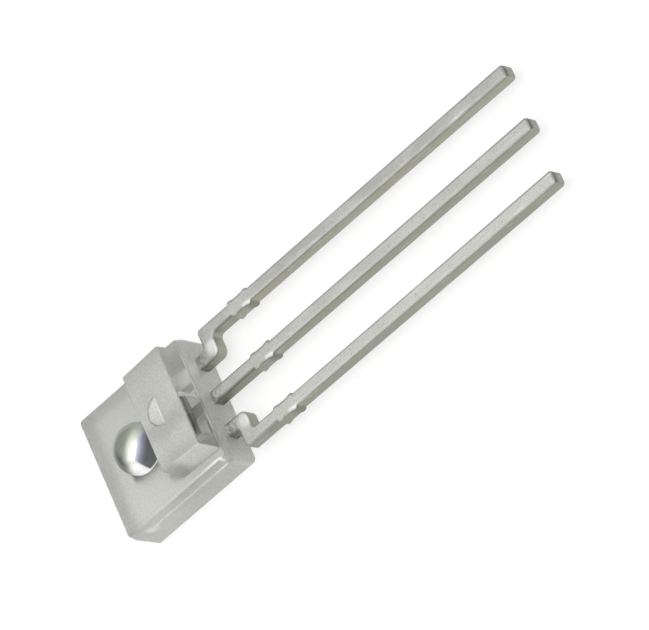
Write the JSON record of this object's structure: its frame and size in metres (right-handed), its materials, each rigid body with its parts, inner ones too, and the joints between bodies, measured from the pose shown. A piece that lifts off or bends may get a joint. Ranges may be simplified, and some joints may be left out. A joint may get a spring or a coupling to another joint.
{
  "type": "light-to-voltage sensor",
  "caption": "Clear moulded side-looking light sensor with a round lens, a raised block behind it and straight solder leads.",
  "frame": {"origin": "centre of the flat back face of the package", "axes": "+X across the leads, +Y along the leads away from the package, +Z out of the face with the lens; the part lies on its back"},
  "size_m": [0.0046, 0.0195, 0.0024],
  "materials": {
    "clear_epoxy": "clear moulded epoxy, polished lens and faintly matt flat faces",
    "tinned_lead": "soft satin tin plate",
    "silver_adhesive": "dull silver-filled adhesive",
    "silicon": "dark polished silicon",
    "gold_wire": "bright gold"
  },
  "bodies": {
    "root": {"clear_package": "clear_epoxy", "lead_left": "tinned_lead", "lead_centre": "tinned_lead", "lead_right": "tinned_lead", "chip_adhesive": "silver_adhesive", "sensor_chip": "silicon", "bond_wire_left": "gold_wire", "bond_wire_centre": "gold_wire", "bond_wire_right": "gold_wire"}
  },
  "joints": []
}
